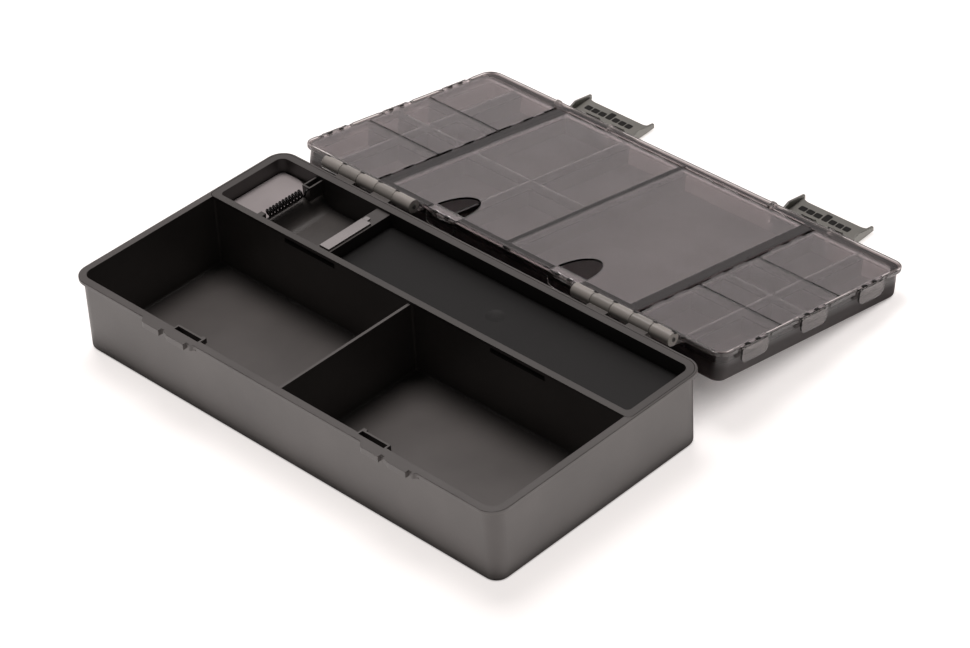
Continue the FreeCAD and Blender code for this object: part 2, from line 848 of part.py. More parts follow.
def lid_shell():
    """The lid's smoked tray with its bays, rails, ledges and rim."""
    reach = lid_half - lid_overhang
    body = slab(-reach, reach, lid_overhang, lid_width - lid_overhang, -lid_depth, 0,
                [lid_corner_radius - lid_overhang] * 4)
    body = body.makeFillet(lid_edge_radius, edges_at(body, -lid_depth))
    lip = slab(-lid_half, lid_half, 0, lid_width, -lid_lip_thickness, 0, [lid_corner_radius] * 4)
    lip = lip.makeFillet(rim_top_radius, edges_at(lip, 0) + edges_at(lip, -lid_lip_thickness))
    shell = body.fuse(lip)
    hollows = lid_seats()
    for side in (-1, 1):
        hollows += end_bays(side) + centre_bays(side)
        x0, x1 = sorted((side * (rail_out_x + ledge_width), side * bay_x))
        hollows.append(box(x0, x1, end_low_web_u - web_thickness, end_low_web_u + web_thickness,
                           seat_w - low_web_drop, 0))
    for hollow in hollows:
        shell = shell.cut(hollow)
    return shell


def lid_hinge():
    """Knuckles of the lid with their webs, and the curved strip behind the bin's knuckles."""
    pieces = []
    cuts = []
    top = -hinge_web_step
    rim_inside = band_width / 2
    inside = lid_overhang + lid_wall / 2
    under = -lid_lip_thickness
    foot = -hinge_web_depth
    root = [(inside, foot), (inside, under), (rim_inside, under), (rim_inside, top)]
    start = -hinge_clear - hinge_web_step
    upper = tangent_point(start, top, axis_u, axis_w, knuckle_radius, 1)
    lower = tangent_point(inside, foot, axis_u, axis_w, knuckle_radius, -1)
    for x0, x1 in knuckle_spans((-2, 0, 2)):
        pieces.append(rod(knuckle_radius, x0, x1, axis_u, axis_w))
        pieces.append(prism_x([(start, top), upper, (axis_u, axis_w), lower] + root, x0, x1))
        cuts.append(rod(hinge_pin_radius + running_fit, x0 - overrun, x1 + overrun, axis_u, axis_w))
    for x0, x1 in knuckle_spans((-1, 1)):
        back_u = axis_u + knuckle_radius / 2
        strip = prism_x([(back_u, top), (back_u, foot)] + root, x0 - knuckle_gap - overrun,
                        x1 + knuckle_gap + overrun)
        room = rod(knuckle_radius + hinge_clear, x0 - knuckle_length, x1 + knuckle_length, axis_u, axis_w)
        pieces.append(strip.cut(room))
        for edge, way in ((x0 - knuckle_gap, 1), (x1 + knuckle_gap, -1)):
            a, b = sorted((edge, edge + way * relief_length))
            cuts.append(box(a, b, -relief_inset - relief_width, -relief_inset,
                            foot - overrun, top + overrun))
    return pieces, cuts


def latch_pivot():
    """Place of the latches' axis in the lid's frame."""
    wall = lid_width - lid_overhang
    return wall + latch_barrel_radius + latch_wall_gap, -latch_pivot_depth


def latch_ears(side):
    """Two ears on the lid's far wall with a bore each, and the small lugs above them at the rim."""
    pivot_u, pivot_w = latch_pivot()
    inside = lid_width - lid_overhang - lid_wall / 2
    ears = []
    bores = []
    for end in (-1, 1):
        a = side * keeper_x + end * (latch_neck_half + ear_gap)
        x0, x1 = sorted((a, a + end * ear_thickness))
        lug_u = lid_width + lug_reach
        ears.append(rod(ear_radius, x0, x1, pivot_u, pivot_w))
        ears.append(prism_x([(inside, pivot_w - ear_radius), (pivot_u, pivot_w - ear_radius),
                             (pivot_u + ear_radius, pivot_w), (lug_u, -hinge_web_step - lug_reach / 2),
                             (lug_u - lug_reach / 2, -hinge_web_step), (inside, -hinge_web_step)], x0, x1))
        bores.append(rod(latch_pin_radius + running_fit, x0 - overrun, x1 + overrun, pivot_u, pivot_w))
    return ears, bores


# Flaps and clips are drawn from their hinge: p along it, q towards the clip, w up

class Flap:
    """One flap: where its hinge lies, how far it reaches and how it is turned in the lid's frame."""

    def __init__(self, name, middle_x, middle_u, turn, length, reach, clip_reach, clip_p, radii, thumb):
        self.name = name
        self.middle = Vector(middle_x, middle_u, 0)
        self.turn = turn
        self.length = length
        self.reach = reach
        self.clip_reach = clip_reach
        self.clip_p = clip_p
        self.radii = radii
        self.thumb = thumb

    def to_lid(self, shape):
        """Move a shape from the flap's frame to the lid's."""
        moved = shape.copy()
        moved.rotate(Vector(0, 0, 0), Vector(0, 0, 1), self.turn)
        moved.translate(self.middle)
        return moved

    def barrels(self):
        """Ends along the hinge of as many barrels as the flap has room for."""
        count = 1 + int((self.length - 2 * barrel_inset - barrel_length) / barrel_pitch)
        first = -(count - 1) * barrel_pitch / 2 - barrel_length / 2
        return [(first + i * barrel_pitch, first + i * barrel_pitch + barrel_length) for i in range(count)]


def end_flap_rows():
    """Ends along u of the three flaps of an end, which meet over two of its webs."""
    half = web_thickness / 2 - free_gap
    return [(band_width + free_gap + free_gap, end_near_web_u - half),
            (end_near_web_u + half, end_far_web_u - half),
            (end_far_web_u + half, seat_far_u - free_gap)]


def all_flaps():
    """The eight flaps: one over each half of the centre, and three over each end."""
    flaps = []
    small = flap_corner_radius
    hinge_x = rail_out_x + free_gap - barrel_reach
    outer = seat_outer_radius - free_gap
    for side, word in ((-1, "left"), (1, "right")):
        x0 = middle_rail_width / 2 + free_gap
        x1 = rail_in_x - free_gap
        middle = side * (x0 + x1) / 2
        hinge_u = seat_far_u - free_gap + barrel_reach
        reach = hinge_u - near_band_width - free_gap
        flaps.append(Flap("centre_flap_" + word, middle, hinge_u, 2 * quarter_turn, x1 - x0, reach,
                          hinge_u + clip_out, middle - side * centre_clip_x, [small] * 4, True))
    for side, word in ((-1, "left"), (1, "right")):
        for row, ((u0, u1), place) in enumerate(zip(end_flap_rows(), ("near", "middle", "far"))):
            near = outer if row == 0 else small
            far = outer if row == 2 else small
            outer_corners = [far, near] if side > 0 else [near, far]
            radii = [small, small] + outer_corners
            name = "end_flap_" + word + "_" + place
            flaps.append(Flap(name, side * hinge_x, (u0 + u1) / 2, -side * quarter_turn, u1 - u0,
                              end_seat_x - free_gap - hinge_x, lid_half + clip_out - hinge_x, 0,
                              radii, False))
    return flaps


def flap_shape(flap):
    """Clear flap: plate, barrels, tongue over the rim, holes at the film hinge and any thumb hole."""
    half = flap.length / 2
    top = -flap_drop
    under = top - flap_thickness
    plate = slab(-half, half, barrel_reach, flap.reach, under, top,
                 [flap.radii[0], flap.radii[1], flap.radii[3], flap.radii[2]])
    tongue_end = flap.clip_reach - clip_radius - clip_film_gap
    tongue_half = tongue_width / 2
    pieces = [plate, box(flap.clip_p - tongue_half, flap.clip_p + tongue_half, flap.reach - thumb_strip,
                         tongue_end, under, top)]
    for p0, p1 in flap.barrels():
        pieces.append(rod(barrel_radius, p0, p1, 0, barrel_w))
        pieces.append(box(p0, p1, 0, barrel_reach + overrun, under, top))
    shape = joined(pieces)
    cuts = clip_holes(flap)
    if flap.thumb:
        cuts.append(thumb_hole(flap))
    return shape.cut(Part.makeCompound(cuts))


def thumb_hole(flap):
    """Half ellipse just inside the flap's free edge."""
    base = flap.reach - thumb_strip
    centre = Vector(flap.clip_p, base, -flap_drop - flap_thickness - overrun)
    tip = centre - Vector(0, thumb_length, 0)
    side = centre + Vector(thumb_width / 2, 0, 0)
    arc = Part.Arc(Part.Ellipse(tip, side, centre), -math.pi / 2, math.pi / 2).toShape()
    line = Part.LineSegment(arc.valueAt(arc.LastParameter), arc.valueAt(arc.FirstParameter)).toShape()
    face = Part.Face(Part.Wire([arc, line]))
    return face.extrude(Vector(0, 0, flap_thickness + overrun + overrun))


def clip_holes(flap):
    """The pair of holes across the film hinge between a flap and its clip."""
    holes = []
    for side in (-1, 1):
        middle = flap.clip_p + side * clip_hole_spacing / 2
        holes.append(box(middle - clip_hole_length / 2, middle + clip_hole_length / 2,
                         flap.clip_reach - clip_radius - clip_hole_width, flap.clip_reach + clip_hole_past,
                         clip_w - clip_radius - clip_hole_width, 0))
    return holes


def clip_shape(flap):
    """Clip that hangs down outside the rim, rounded at its foot, with a bead that hooks the lip."""
    half = tongue_width / 2
    foot = clip_w - clip_length
    corner = clip_corner_radius
    q0 = flap.clip_reach - clip_radius
    plate = slab(-half, half, foot, clip_w, -clip_radius, clip_radius,
                 [corner, corner, clip_head_radius, clip_head_radius])
    plate.rotate(Vector(0, 0, 0), Vector(1, 0, 0), quarter_turn)
    plate.translate(Vector(flap.clip_p, flap.clip_reach, 0))
    head_half = half - clip_head_radius
    head = rod(clip_radius, flap.clip_p - head_half, flap.clip_p + head_half, flap.clip_reach, clip_w)
    inner = half - corner
    bead_w = -lid_lip_thickness - free_gap - clip_bead_radius
    bead = rod(clip_bead_radius, flap.clip_p - inner, flap.clip_p + inner, q0, bead_w)
    return joined([plate, head, bead]).cut(Part.makeCompound(clip_holes(flap)))


def flap_cuts(flap):
    """What a flap needs in the lid: a channel for its barrels, a tongue notch and a clip pocket."""
    cuts = []
    half = flap.length / 2 + free_gap
    cuts.append(box(-half, half, -barrel_back, barrel_reach, seat_w, overrun))
    for p0, p1 in flap.barrels():
        cuts.append(rod(barrel_radius + barrel_gap, p0 - tongue_gap, p1 + tongue_gap, 0, barrel_w))
    half = tongue_width / 2 + tongue_gap
    rim = flap.clip_reach - clip_out
    cuts.append(box(flap.clip_p - half, flap.clip_p + half, flap.reach - overrun, rim + overrun,
                    seat_w, overrun))
    half = clip_pocket_length / 2
    cuts.append(box(flap.clip_p - half, flap.clip_p + half, rim - clip_pocket_depth, rim + overrun,
                    -lid_lip_thickness - overrun, overrun))
    return cuts


def lid_tray(flaps):
    """The whole lid moulding in its own frame."""
    pieces, cuts = lid_hinge()
    bores = []
    for side in (-1, 1):
        ears, holes = latch_ears(side)
        pieces += ears
        bores += holes
    shell = lid_shell()
    for flap in flaps:
        for cut in flap_cuts(flap):
            shell = shell.cut(flap.to_lid(cut))
    shell = shell.multiFuse(pieces)
    return shell.cut(Part.makeCompound(cuts)).cut(Part.makeCompound(bores)).removeSplitter()


# Latches, drawn closed from their pivot: b outwards from the lid, a along the plate towards the bin

def latch_plate():
    """Plate with a narrow neck, two wings and a free edge that is drawn in between their tips."""
    dip_x = (latch_wing_half + latch_edge_half) / 2
    dip_a = (latch_tip_length + latch_edge_length) / 2 - latch_edge_dip
    points = [(latch_neck_half, -latch_top), (latch_neck_half, latch_neck_length),
              (latch_wing_half, latch_neck_length + latch_shoulder), (latch_wing_half, latch_tip_length),
              (dip_x, dip_a), (latch_edge_half, latch_edge_length)]
    right = [Vector(x, latch_offset, a) for x, a in points]
    left = [Vector(-x, latch_offset, a) for x, a in points]
    edges = [Part.LineSegment(left[0], right[0])]
    edges += [Part.LineSegment(right[i], right[i + 1]) for i in range(3)]
    edges += [Part.Arc(right[3], right[4], right[5]), Part.LineSegment(right[5], left[5]),
              Part.Arc(left[5], left[4], left[3])]
    edges += [Part.LineSegment(left[i + 1], left[i]) for i in reversed(range(3))]
    face = Part.Face(Part.Wire([edge.toShape() for edge in edges]))
    return face.extrude(Vector(0, latch_thickness, 0))


def latch_shape():
    """One latch, closed, about its pivot: hooks inside, and framed recesses between them and the pivot."""
    neck = latch_neck_half
    inner = latch_offset
    pieces = [latch_plate(), rod(latch_barrel_radius, -neck, neck, 0, 0)]
    pieces.append(box(-neck, neck, 0, inner + latch_thickness / 2, -latch_arm_half, latch_arm_half))
    pieces.append(rod(latch_pin_radius, -neck - latch_pin_length, neck + latch_pin_length, 0, 0))
    rise = latch_neck_length + latch_shoulder
    outer = inner + latch_thickness
    flange = [(inner - latch_flange_low, rise), (inner - latch_flange_high, rise + latch_flange_rise),
              (inner - latch_flange_tip, latch_tip_length), (outer, latch_tip_length), (outer, rise)]
    for side in (-1, 1):
        x0, x1 = sorted((side * latch_wing_half, side * (latch_wing_half - latch_flange_thickness)))
        pieces.append(prism_x(flange, x0, x1))
    pieces.append(box(-latch_edge_half, latch_edge_half, outer - overrun, outer + grip_height,
                      latch_edge_length - grip_width, latch_edge_length))
    pivot_u, pivot_w = latch_pivot()
    keeper_under = keeper_thickness + lid_gap - pivot_w + free_gap
    keeper_front = half_width + keeper_reach + lid_width / 2 - pivot_u
    hook_b = keeper_front - hook_overlap
    base_b = inner + latch_thickness / 2
    for start, end in keeper_tab_spans():
        x0 = start + keeper_blend_length + hook_inset
        x1 = end - keeper_slit_length - hook_inset
        hook = [(base_b, keeper_under), (hook_b, keeper_under), (hook_b, keeper_under + hook_tip_thickness),
                (base_b, keeper_under + hook_thickness)]
        pieces.append(prism_x(hook, x0, x1))
    windows = []
    low_a = keeper_under - window_skin - window_width
    high_b = inner - window_frame
    for side in (-1, 1):
        x0 = side * window_pitch / 2 - window_length / 2
        x1 = x0 + window_length
        pieces.append(box(x0 - window_skin, x1 + window_skin, high_b, base_b,
                          low_a - window_skin, keeper_under))
        cell = (window_length + window_rib) / window_cells
        for i in range(window_cells):
            windows.append(slab(x0 + i * cell, x0 + (i + 1) * cell - window_rib, low_a, low_a + window_width,
                                window_floor - outer, overrun - high_b, [window_radius] * 4))
    shape = joined(pieces)
    for window in windows:
        window.rotate(Vector(0, 0, 0), Vector(1, 0, 0), quarter_turn)
    return shape.cut(Part.makeCompound(windows))


def latch_on_lid(side):
    """A latch swung open and put on the lid's far wall."""
    shape = latch_shape()
    pivot_u, pivot_w = latch_pivot()
    shape.rotate(Vector(0, 0, 0), Vector(1, 0, 0), -latch_open_angle)
    shape.translate(Vector(side * keeper_x, pivot_u, pivot_w))
    return shape


def solid_of(shape):
    """The single solid of a finished piece."""
    if len(shape.Solids) != 1:
        print("expected one solid and found", len(shape.Solids))
    return shape.Solids[0] if len(shape.Solids) == 1 else shape


def write(name, shape):
    """Save one piece under its name."""
    solid = solid_of(shape)
    print(name, "valid" if solid.isValid() else "not valid", round(solid.Volume / 1000, 2), "ml")
    solid.exportStep("parts/" + name + ".step")


flaps = all_flaps()
write("base_bin", base_bin())
write("hinge_pin_left", hinge_pin(-1))
write("hinge_pin_right", hinge_pin(1))
write("rear_tray", rear_tray())
write("tray_panel", tray_panel())
write("divider_strip", divider_strip())
write("line_coil", line_coil())
write("lid_tray", placed_on_lid(lid_tray(flaps)))
for flap in flaps:
    write(flap.name, placed_on_lid(flap.to_lid(flap_shape(flap))))
    write(flap.name.replace("flap", "clip"), placed_on_lid(flap.to_lid(clip_shape(flap))))
for side, word in ((-1, "left"), (1, "right")):
    write("latch_" + word, placed_on_lid(latch_on_lid(side)))
print("lid tilt", round(lid_tilt, 3))
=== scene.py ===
# %% [markdown]
# # Fishing tackle cabinet
# A long moulded bin stands open in front of its shallow smoked lid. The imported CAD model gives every
# solid and every hinge. This notebook gives them their finishes, adds the few pieces that are too fine
# for the solids, and sets up the studio and the camera.

# %% Load the frame
import json
import math

import bpy
import numpy as np
from mathutils import Matrix, Vector


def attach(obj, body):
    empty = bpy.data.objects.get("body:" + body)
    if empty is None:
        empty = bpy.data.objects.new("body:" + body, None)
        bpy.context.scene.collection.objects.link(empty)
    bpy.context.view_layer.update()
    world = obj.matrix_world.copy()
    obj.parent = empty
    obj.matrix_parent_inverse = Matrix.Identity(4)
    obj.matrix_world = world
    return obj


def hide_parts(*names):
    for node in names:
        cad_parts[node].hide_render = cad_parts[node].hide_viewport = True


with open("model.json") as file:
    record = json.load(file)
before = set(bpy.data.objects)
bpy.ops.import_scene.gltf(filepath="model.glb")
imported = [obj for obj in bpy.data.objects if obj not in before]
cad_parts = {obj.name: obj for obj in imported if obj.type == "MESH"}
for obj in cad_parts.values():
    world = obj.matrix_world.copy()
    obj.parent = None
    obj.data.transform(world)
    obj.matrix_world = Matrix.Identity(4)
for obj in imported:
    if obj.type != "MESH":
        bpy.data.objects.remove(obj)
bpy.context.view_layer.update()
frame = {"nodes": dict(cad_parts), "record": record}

nodes = frame["nodes"]
for plain in list(bpy.data.materials):
    bpy.data.materials.remove(plain)

# %% [markdown]
# ## Camera
# The picture was solved as a perspective view of two boxes with parallel edges: that gives the direction
# of the view, its roll, the focal length and where the camera stands, all for a frame 970 pixels wide.
# The angles are kept as they were found, and the camera's three axes are worked out from them.

# %% Camera
FRAME_WIDTH = 970
FOCAL_PIXELS = 3536.86
SENSOR = 36.0
AZIMUTH, ELEVATION, ROLL = (math.radians(a) for a in (45.575, 36.561, -3.341))
OFFSET = Vector((-0.058703, 0.039931, 2.098467))
CLIP_NEAR, CLIP_FAR = 0.1, 20.0


def camera_axes(azimuth, elevation, roll):
    """Right, up and forward of a camera that looks down at the object.

    Forward = (-sin a cos e, cos a cos e, -sin e). The level right (cos a, sin a, 0) and the up that goes
    with it are then turned about forward by the roll.
    """
    a, e = azimuth, elevation
    forward = Vector((-math.sin(a) * math.cos(e), math.cos(a) * math.cos(e), -math.sin(e)))
    level = Vector((math.cos(a), math.sin(a), 0))
    upright = level.cross(forward)
    right = level * math.cos(roll) + upright * math.sin(roll)
    up = upright * math.cos(roll) - level * math.sin(roll)
    return right, up, forward


right, up, forward = camera_axes(AZIMUTH, ELEVATION, ROLL)
camera_data = bpy.data.cameras.new("camera")
camera_data.sensor_width = SENSOR
camera_data.lens = FOCAL_PIXELS / FRAME_WIDTH * SENSOR
camera = bpy.data.objects.new("camera", camera_data)
bpy.context.scene.collection.objects.link(camera)
turn = Matrix((right, up, -forward)).transposed().to_4x4()
place = -(right * OFFSET.x - up * OFFSET.y + forward * OFFSET.z)
camera.matrix_world = Matrix.Translation(place) @ turn
camera_data.clip_start, camera_data.clip_end = CLIP_NEAR, CLIP_FAR
bpy.context.scene.camera = camera
print("lens", round(camera_data.lens, 2), "camera at", [round(c, 4) for c in place])

# %% [markdown]
# ## Moulded plastic
# Everything here is injection moulded, so one recipe serves for most of it: a base colour with a very
# slight cloudiness, a fine spark-eroded grain in the roughness and the bump, and edges that a bevel
# node rounds for the light only.

# %% Plastic recipe
NOISE_LOW, NOISE_HIGH = 0.3, 0.7
CLOUD_SCALE, CLOUD_DETAIL, GRAIN_DETAIL, ROUGHNESS_SPREAD = 22.0, 4.0, 3.0, 0.1


def link(tree, a, b):
    """Joins two sockets."""
    tree.links.new(a, b)


def new_material(name):
    """Empty material and its Principled shader, with Object coordinates ready."""
    material = bpy.data.materials.new(name)
    material.use_nodes = True
    tree = material.node_tree
    shader = tree.nodes["Principled BSDF"]
    coords = tree.nodes.new("ShaderNodeTexCoord")
    return material, tree, shader, coords.outputs["Object"]


def noise(tree, coords, scale, detail):
    """Noise over the object, with a scale in grains per metre."""
    node = tree.nodes.new("ShaderNodeTexNoise")
    node.inputs["Scale"].default_value = scale
    node.inputs["Detail"].default_value = detail
    link(tree, coords, node.inputs["Vector"])
    return node.outputs["Fac"]


def spread(tree, value, low, high):
    """Stretches a noise, whose middle is 0.5, over a range."""
    node = tree.nodes.new("ShaderNodeMapRange")
    node.inputs["From Min"].default_value = NOISE_LOW
    node.inputs["From Max"].default_value = NOISE_HIGH
    node.inputs["To Min"].default_value = low
    node.inputs["To Max"].default_value = high
    link(tree, value, node.inputs["Value"])
    return node.outputs["Result"]


def tint(tree, factor, dark, light):
    """Colour between two, by a factor."""
    node = tree.nodes.new("ShaderNodeMix")
    node.data_type = "RGBA"
    node.inputs["A"].default_value = (*dark, 1)
    node.inputs["B"].default_value = (*light, 1)
    link(tree, factor, node.inputs["Factor"])
    return node.outputs["Result"]


def surface(tree, shader, height, depth, edge):
    """Bump of the grain, over edges that are rounded for the light."""
    bevel = tree.nodes.new("ShaderNodeBevel")
    bevel.inputs["Radius"].default_value = edge
    bump = tree.nodes.new("ShaderNodeBump")
    bump.inputs["Distance"].default_value = depth
    bump.inputs["Strength"].default_value = 1.0
    link(tree, height, bump.inputs["Height"])
    link(tree, bevel.outputs["Normal"], bump.inputs["Normal"])
    link(tree, bump.outputs["Normal"], shader.inputs["Normal"])


def plastic(name, colour, roughness, grain=1600.0, depth=0.00002, cloud=0.12, edge=0.0004):
    """Moulded plastic: colour varies by `cloud` of itself, roughness by a tenth."""
    material, tree, shader, coords = new_material(name)
    dark = [c * (1 - cloud) for c in colour]
    light = [c * (1 + cloud) for c in colour]
    clouds = spread(tree, noise(tree, coords, CLOUD_SCALE, CLOUD_DETAIL), 0, 1)
    link(tree, tint(tree, clouds, dark, light), shader.inputs["Base Color"])
    fine = noise(tree, coords, grain, GRAIN_DETAIL)
    rough = spread(tree, fine, roughness * (1 - ROUGHNESS_SPREAD), roughness * (1 + ROUGHNESS_SPREAD))
    link(tree, rough, shader.inputs["Roughness"])
    surface(tree, shader, fine, depth, edge)
    return material


# %% [markdown]
# ## Opaque finishes
# The bin and the tray are dark warm greys, the panel in the tray is nearly black and less glossy, and the
# latches are an olive grey. The strip and the pins are metal. A pale colour on the tray's shelf is
# painted light for the shelf's bright lit top, and a dead black is painted shade for holes too deep for
# light to come back out of.

# %% Opaque finishes
PANEL_SPECULAR = 0.22
bin_plastic = plastic("bin_plastic", (0.122, 0.111, 0.106), 0.42)
tray_plastic = plastic("tray_plastic", (0.085, 0.077, 0.073), 0.40)
panel_plastic = plastic("panel_plastic", (0.008, 0.0075, 0.0075), 0.46, grain=2400.0, depth=0.000008)
latch_plastic = plastic("latch_plastic", (0.265, 0.260, 0.235), 0.45)
coil_wire = plastic("coil_wire", (0.010, 0.009, 0.009), 0.30, grain=3000.0, depth=0.000005)
strip_metal = plastic("strip_metal", (0.30, 0.285, 0.285), 0.45, grain=900.0, depth=0.00001)
pin_steel = plastic("pin_steel", (0.62, 0.61, 0.59), 0.25, grain=900.0, depth=0.000004)
# Painted light: a pale colour for the bright lit top of the tray's shelf.
foam = plastic("foam", (0.52, 0.475, 0.48), 0.9, grain=2600.0, depth=0.00005)
well_shade = plastic("well_shade", (0.012, 0.011, 0.010), 0.8)
panel_shader = panel_plastic.node_tree.nodes["Principled BSDF"]
panel_shader.inputs["Specular IOR Level"].default_value = PANEL_SPECULAR
for metal in (strip_metal, pin_steel):
    metal.node_tree.nodes["Principled BSDF"].inputs["Metallic"].default_value = 1.0
print("opaque finishes", len(bpy.data.materials))

# %% [markdown]
# ## Clear finishes
# The lid is one smoked moulding, the flaps over its bays are clear, and their clips are a little greyer
# because they are thicker. All three are the moulded recipe with light let through.

# %% Clear finishes
PLASTIC_IOR, CLEAR_CLOUD, WARM_GLOSS = 1.42, 0.05, (1, 0.93, 0.925, 1)


def clear(name, colour, roughness, transmission, depth=0.000004):
    """Clear or smoked plastic, from the moulded recipe with light let through."""
    material = plastic(name, colour, roughness, depth=depth, cloud=CLEAR_CLOUD, edge=0.0003)
    shader = material.node_tree.nodes["Principled BSDF"]
    shader.inputs["Transmission Weight"].default_value = transmission
    shader.inputs["IOR"].default_value = PLASTIC_IOR
    return material


smoked_plastic = clear("smoked_plastic", (0.092, 0.072, 0.071), 0.12, 0.93)
clear_plastic = clear("clear_plastic", (0.80, 0.74, 0.745), 0.03, 1.0, depth=0.000001)
clip_plastic = clear("clip_plastic", (0.55, 0.52, 0.51), 0.10, 1.0)
for see_through in (clear_plastic, clip_plastic):
    see_through.node_tree.nodes["Principled BSDF"].inputs["Specular Tint"].default_value = WARM_GLOSS
print("clear finishes", [m.name for m in (smoked_plastic, clear_plastic, clip_plastic)])

# %% [markdown]
# ## Finishes that change from place to place
# The smoked moulding isn't the same all over. Its lip is thin and pale, its ledges and the tops of its
# webs are dark, because the eye looks along them, and its bays are finely matt. The knuckles of both
# mouldings are thick and polished, so they look solid, and their light colour is a painted highlight.
# Each place is found from its distance to the hinge's axis or to the lid's plane, and the colour changes
# there in the same material, since the real lid is one shot of one plastic.

# %% Places on the lid
LID_TILT = math.radians(10.157)
LID_NORMAL = Vector((0, math.sin(LID_TILT), math.cos(LID_TILT)))
LID_AWAY = Vector((0, math.cos(LID_TILT), -math.sin(LID_TILT)))
HINGE, HINGE_OVER_RIM, HINGE_BEFORE_RIM = Vector((0, 0.09565, 0.0526)), 0.0007, 0.0079
LID_LENGTH, LID_WIDTH, LIP_REACH, KNUCKLE_REACH = 0.348, 0.1755, 0.0023, 0.0047
MATT_HEIGHTS, LEDGE_HEIGHTS = (-0.012, -0.006), (-0.0045, -0.0031)


def calc(tree, operation, a, b=0.0):
    """One step of arithmetic on sockets or numbers."""
    node = tree.nodes.new("ShaderNodeMath")
    node.operation = operation
    for value, socket in ((a, node.inputs[0]), (b, node.inputs[1])):
        if isinstance(value, float):
            socket.default_value = value
        else:
            link(tree, value, socket)
    return node.outputs[0]


def distance(tree, coords, way, start):
    """Signed distance of the shaded point from `start` along a direction: way . p - way . start."""
    node = tree.nodes.new("ShaderNodeVectorMath")
    node.operation = "DOT_PRODUCT"
    node.inputs[1].default_value = way
    link(tree, coords, node.inputs[0])
    return calc(tree, "SUBTRACT", node.outputs["Value"], float(way.dot(start)))


def change(tree, factor, socket, new):
    """Where the factor is 1 a socket takes a new value, and elsewhere it keeps the one that it has."""
    mix = tree.nodes.new("ShaderNodeMix")
    if isinstance(new, tuple):
        mix.data_type = "RGBA"
        new = (*new, 1)
    ends = [s for s in mix.inputs if s.enabled and s.name in "AB"]
    if socket.is_linked:
        link(tree, socket.links[0].from_socket, ends[0])
    else:
        ends[0].default_value = socket.default_value
    ends[1].default_value = new
    link(tree, factor, mix.inputs["Factor"])
    link(tree, next(s for s in mix.outputs if s.enabled), socket)


def knuckle_solid_and_highlight(material, colour, roughness):
    """Near the hinge's axis, where (y - hy)^2 + (z - hz)^2 < r^2, the plastic looks solid, with a lighter
    colour that is a painted highlight.
    """
    tree = material.node_tree
    shader = tree.nodes["Principled BSDF"]
    coords = tree.nodes["Texture Coordinate"].outputs["Object"]
    y = distance(tree, coords, Vector((0, 1, 0)), HINGE)
    z = distance(tree, coords, Vector((0, 0, 1)), HINGE)
    squares = calc(tree, "ADD", calc(tree, "MULTIPLY", y, y), calc(tree, "MULTIPLY", z, z))
    near = calc(tree, "LESS_THAN", squares, KNUCKLE_REACH ** 2)
    change(tree, near, shader.inputs["Base Color"], colour)
    change(tree, near, shader.inputs["Roughness"], roughness)
    change(tree, near, shader.inputs["Transmission Weight"], 0.0)


def lid_finish(material, polished, rough, thin, thick):
    """The lid's bays are finely matt, its rim is polished, its lip is pale and its ledges are dark.

    The height over the rim is w = n . (p - h) + w0, with n the lid's upward normal and h a point of the
    hinge, and the roughness goes from `rough` to `polished` between w = -12 mm and w = -6 mm. The lip
    is where |x| or the distance from the lid's middle line is past the walls' outer faces. The ledges
    and the tops of the webs are a band of heights just under the flaps.
    """
    tree = material.node_tree
    shader = tree.nodes["Principled BSDF"]
    coords = tree.nodes["Texture Coordinate"].outputs["Object"]
    height = distance(tree, coords, LID_NORMAL, HINGE - LID_NORMAL * HINGE_OVER_RIM)
    ramp = tree.nodes.new("ShaderNodeMapRange")
    ramp.inputs["From Min"].default_value = MATT_HEIGHTS[0]
    ramp.inputs["From Max"].default_value = MATT_HEIGHTS[1]
    ramp.inputs["To Min"].default_value = rough
    ramp.inputs["To Max"].default_value = polished
    link(tree, height, ramp.inputs["Value"])
    link(tree, ramp.outputs["Result"], shader.inputs["Roughness"])
    middle = HINGE + LID_AWAY * (LID_WIDTH / 2 + HINGE_BEFORE_RIM)
    x = distance(tree, coords, Vector((1, 0, 0)), middle)
    across = calc(tree, "ABSOLUTE", distance(tree, coords, LID_AWAY, middle))
    ledge = calc(tree, "MULTIPLY", calc(tree, "GREATER_THAN", height, LEDGE_HEIGHTS[0]),
                 calc(tree, "LESS_THAN", height, LEDGE_HEIGHTS[1]))
    past = calc(tree, "MAXIMUM",
                calc(tree, "GREATER_THAN", calc(tree, "ABSOLUTE", x), LID_LENGTH / 2 - LIP_REACH),
                calc(tree, "GREATER_THAN", across, LID_WIDTH / 2 - LIP_REACH))
    change(tree, ledge, shader.inputs["Base Color"], thick)
    change(tree, past, shader.inputs["Base Color"], thin)


lid_finish(smoked_plastic, polished=0.12, rough=0.62, thin=(0.74, 0.69, 0.68),
           thick=(0.016, 0.013, 0.013))
# Painted highlight: the knuckles' light colours stand for the highlights on them.
knuckle_solid_and_highlight(smoked_plastic, colour=(0.52, 0.485, 0.45), roughness=0.30)
knuckle_solid_and_highlight(bin_plastic, colour=(0.42, 0.395, 0.365), roughness=0.25)
print("nodes in the smoked material", len(smoked_plastic.node_tree.nodes))

# %% [markdown]
# ## Finishes onto the CAD nodes
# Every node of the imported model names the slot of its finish, so the finishes are handed out by name.

# %% Finishes onto the CAD nodes
finish = {m.name: m for m in (bin_plastic, tray_plastic, panel_plastic, latch_plastic, coil_wire,
                              strip_metal, pin_steel, smoked_plastic, clear_plastic, clip_plastic)}
for subpart in frame["record"]["subparts"]:
    mesh = nodes[subpart["node"]].data
    mesh.materials.clear()
    mesh.materials.append(finish[subpart["material_slot"]])

# %% [markdown]
# ## Coil
# On the real tray a spring of black wire lies over the crest of the ramp, and the lines of made-up rigs
# are pushed between its turns. Wire is drawn round and wound on a mandrel, so the piece is one round
# tube along a helix, with a short straight end hooked to the tray's post and plate.

